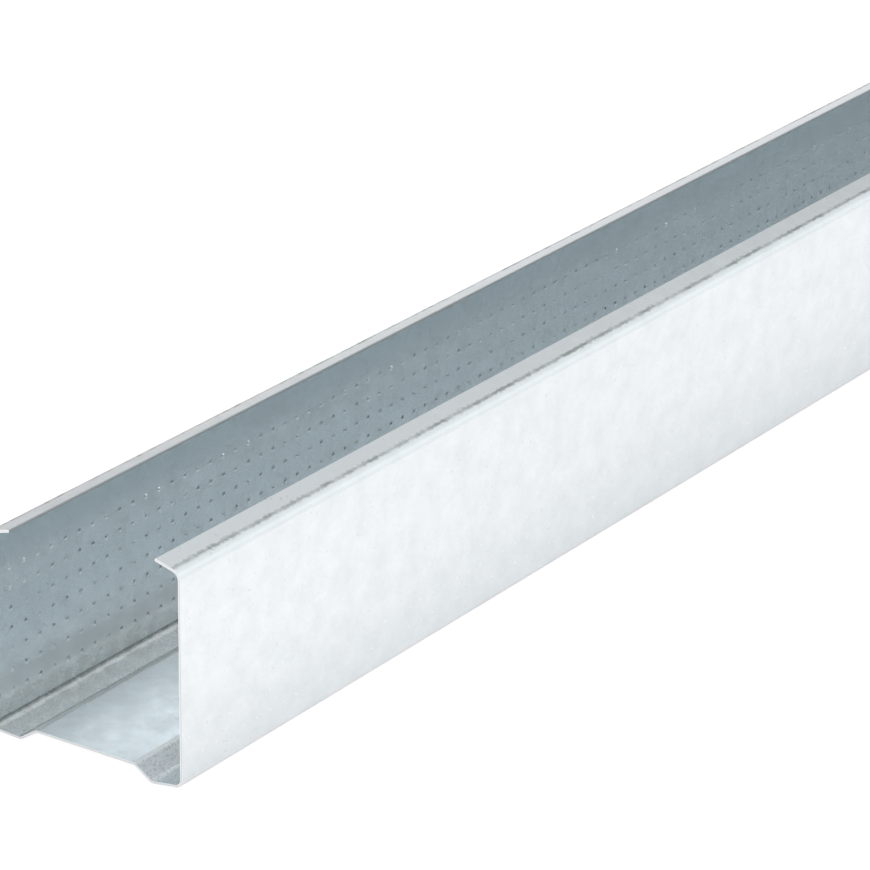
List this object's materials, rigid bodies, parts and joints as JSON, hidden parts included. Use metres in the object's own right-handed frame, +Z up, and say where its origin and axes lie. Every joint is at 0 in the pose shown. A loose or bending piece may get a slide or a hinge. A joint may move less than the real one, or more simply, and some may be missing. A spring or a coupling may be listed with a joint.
{
  "type": "drywall metal stud",
  "caption": "Lipped steel C channel for a drywall frame: raised web with a sloping foot beside each flange, flat flanges and tilted inward lips.",
  "frame": {"origin": "middle of the footprint, on the lowest line of the web", "axes": "+X along the stud, +Y across the web from the taller flange to the shorter one, +Z up through the open side"},
  "size_m": [2.6, 0.0488, 0.0491],
  "materials": {
    "galvanised_steel": "hot-dip galvanised sheet, matt blue-grey with a fine mottle, bright at the sawn ends and worn dark along the folds"
  },
  "bodies": {
    "root": {"stud": "galvanised_steel"}
  },
  "joints": []
}
